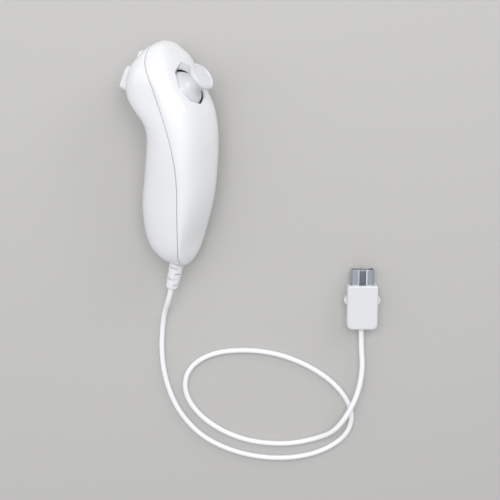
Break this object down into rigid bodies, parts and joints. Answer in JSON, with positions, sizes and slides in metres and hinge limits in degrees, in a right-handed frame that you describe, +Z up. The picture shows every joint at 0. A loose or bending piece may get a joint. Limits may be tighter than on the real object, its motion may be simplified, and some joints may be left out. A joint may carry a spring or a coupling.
{
  "type": "one-handed motion game controller",
  "caption": "White hand grip with a thumb stick in an eight-sided opening, two buttons on its back, and a thin looped cord that ends in a latching plug.",
  "frame": {"origin": "middle of the grip's box on the table, without the cord and plug", "axes": "+Z up from the table, +Y along the grip towards its nose, +X to the side the thumb face looks to"},
  "size_m": [0.1322, 0.2233, 0.0421],
  "materials": {
    "white_shell": "gloss",
    "white_button": "satin",
    "stick_cap": "satin",
    "sleeve": "matte",
    "cord_jacket": "satin",
    "plug_cover": "satin",
    "plug_steel": "brushed",
    "tongue": "matte",
    "gold": "polished",
    "steel": "plated",
    "spring_steel": "plated",
    "module_black": "matte",
    "module_tin": "plated",
    "sensor_green": "matte",
    "board_green": "satin",
    "chip": "matte",
    "component": "matte",
    "header_white": "matte",
    "wire": "satin",
    "dome_rubber": "matte",
    "rocker": "matte",
    "crimp": "plated"
  },
  "bodies": {
    "handset": {"front_shell": "white_shell", "rear_shell": "white_shell", "shell_screws": "steel", "stick_board_screws": "steel", "button_board_screws": "steel", "main_board": "board_green", "main_board_screws": "steel", "motion_sensor_chip": "chip", "control_chip": "chip", "board_components": "component", "wire_headers": "header_white", "cord_wires": "wire", "stick_wires": "wire", "button_wires": "wire", "strain_relief": "sleeve", "cord_tail": "cord_jacket", "stick_module_base": "module_black", "stick_module_cover": "module_tin", "stick_position_sensors": "sensor_green", "stick_spring_plate": "rocker", "stick_return_spring": "spring_steel", "stick_board": "board_green", "z_button_hinge_pin": "steel", "button_dome_pad": "dome_rubber", "button_board": "board_green", "cord": "cord_jacket", "plug_lower_cover": "plug_cover", "plug_upper_cover": "plug_cover", "plug_metal_shell": "plug_steel", "plug_tongue": "tongue", "plug_contacts": "gold", "latch_spring_left": "spring_steel", "latch_spring_right": "spring_steel", "plug_cord_end": "cord_jacket", "plug_crimp_collar": "crimp", "plug_wires": "wire"},
    "lower_rocker": {"lower_rocker": "rocker"},
    "upper_rocker": {"upper_rocker": "rocker"},
    "stick": {"stick_shaft": "steel", "thumb_cap": "stick_cap"},
    "z_button": {"z_button": "white_button"},
    "c_button": {"c_button": "white_button"},
    "plug_latch_left": {"plug_latch_left": "plug_cover"},
    "plug_latch_right": {"plug_latch_right": "plug_cover"}
  },
  "joints": [
    {"name": "stick_fore_aft", "type": "hinge", "parent": "handset", "child": "lower_rocker", "pos_m": [0.00546, 0.03719, 0.02311], "axis": [0.4608, 0.0789, -0.884], "range_deg": [-15, 15], "stiffness_Nm_per_rad": 0.02},
    {"name": "stick_side", "type": "hinge", "parent": "lower_rocker", "child": "stick", "pos_m": [0.00546, 0.03719, 0.02311], "axis": [-0.523, 0.8289, -0.1986], "range_deg": [-15, 15], "stiffness_Nm_per_rad": 0.02},
    {"name": "upper_rocker_turn", "type": "hinge", "parent": "handset", "child": "upper_rocker", "pos_m": [0.00546, 0.03719, 0.02311], "axis": [-0.523, 0.8289, -0.1986], "range_deg": [-15, 15]},
    {"name": "z_button_press", "type": "hinge", "parent": "handset", "child": "z_button", "pos_m": [-0.00945, 0.04902, 0.01639], "axis": [-0.4608, -0.0789, 0.884], "range_deg": [0, 6], "stiffness_Nm_per_rad": 0.05, "deforming": ["button_dome_pad"]},
    {"name": "c_button_press", "type": "slide", "parent": "handset", "child": "c_button", "axis": [0.834, -0.3791, 0.4009], "range_m": [0, 0.0009], "stiffness_N_per_m": 800, "deforming": ["button_dome_pad"]},
    {"name": "latch_left_press", "type": "slide", "parent": "handset", "child": "plug_latch_left", "axis": [1, 0, 0], "range_m": [0, 0.0011], "stiffness_N_per_m": 1000, "deforming": ["latch_spring_left"]},
    {"name": "latch_right_press", "type": "slide", "parent": "handset", "child": "plug_latch_right", "axis": [-1, 0, 0], "range_m": [0, 0.0011], "stiffness_N_per_m": 1000, "deforming": ["latch_spring_right"]}
  ],
  "couplings": [
    {"joint": "upper_rocker_turn", "follows": "stick_side", "ratio": 1}
  ]
}
